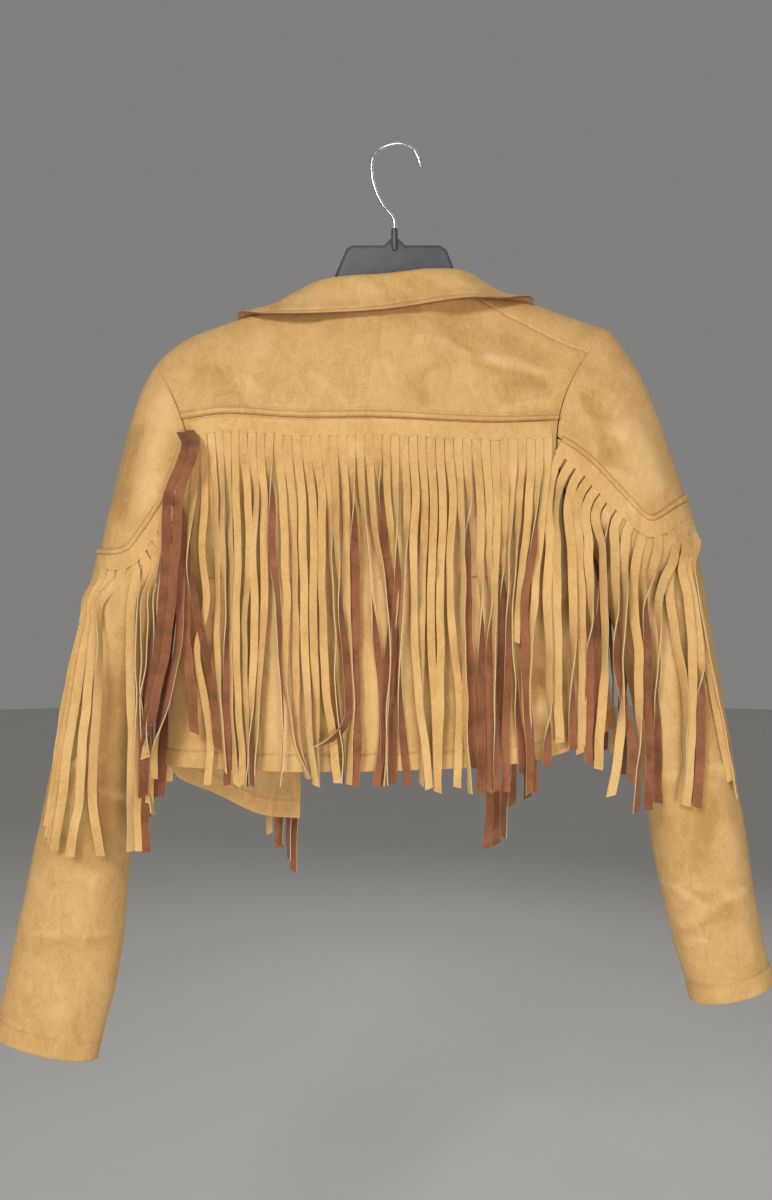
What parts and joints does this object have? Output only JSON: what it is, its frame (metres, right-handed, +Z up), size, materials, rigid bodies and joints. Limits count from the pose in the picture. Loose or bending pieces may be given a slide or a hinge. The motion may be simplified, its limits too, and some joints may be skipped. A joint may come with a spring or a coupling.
{
  "type": "fringed jacket on a hanger",
  "caption": "Cropped faux-suede jacket with shirt collar, back and front yokes and long hanging fringe on body and sleeves, hung on a moulded hanger with a wire hook",
  "frame": {"origin": "top of the inside of the hanger's hook, where a rail or a peg bears", "axes": "+Z up, +X to the right of somebody facing the jacket's back, +Y from the jacket's back to its front"},
  "size_m": [0.6974, 0.1189, 0.8235],
  "materials": {
    "suede": "tan bonded faux suede with a short brushed nap",
    "fringe": "the same cloth cut in strips, tan nap outside and brown backing inside",
    "hanger": "black moulded plastic, slightly worn",
    "hook": "bright plated steel wire"
  },
  "bodies": {
    "root": {"back_yoke": "suede", "back_body": "suede", "back_welt": "suede", "back_fringe": "fringe", "front_yoke_left": "suede", "front_yoke_right": "suede", "front_left": "suede", "front_right": "suede", "front_welt_left": "suede", "front_welt_right": "suede", "front_fringe_left": "fringe", "front_fringe_right": "fringe", "collar": "suede", "sleeve_cap_left": "suede", "sleeve_cap_right": "suede", "sleeve_left": "suede", "sleeve_right": "suede", "sleeve_welt_left": "suede", "sleeve_welt_right": "suede", "sleeve_fringe_left": "fringe", "sleeve_fringe_right": "fringe", "hanger_body": "hanger", "hanger_hook": "hook"}
  },
  "joints": []
}
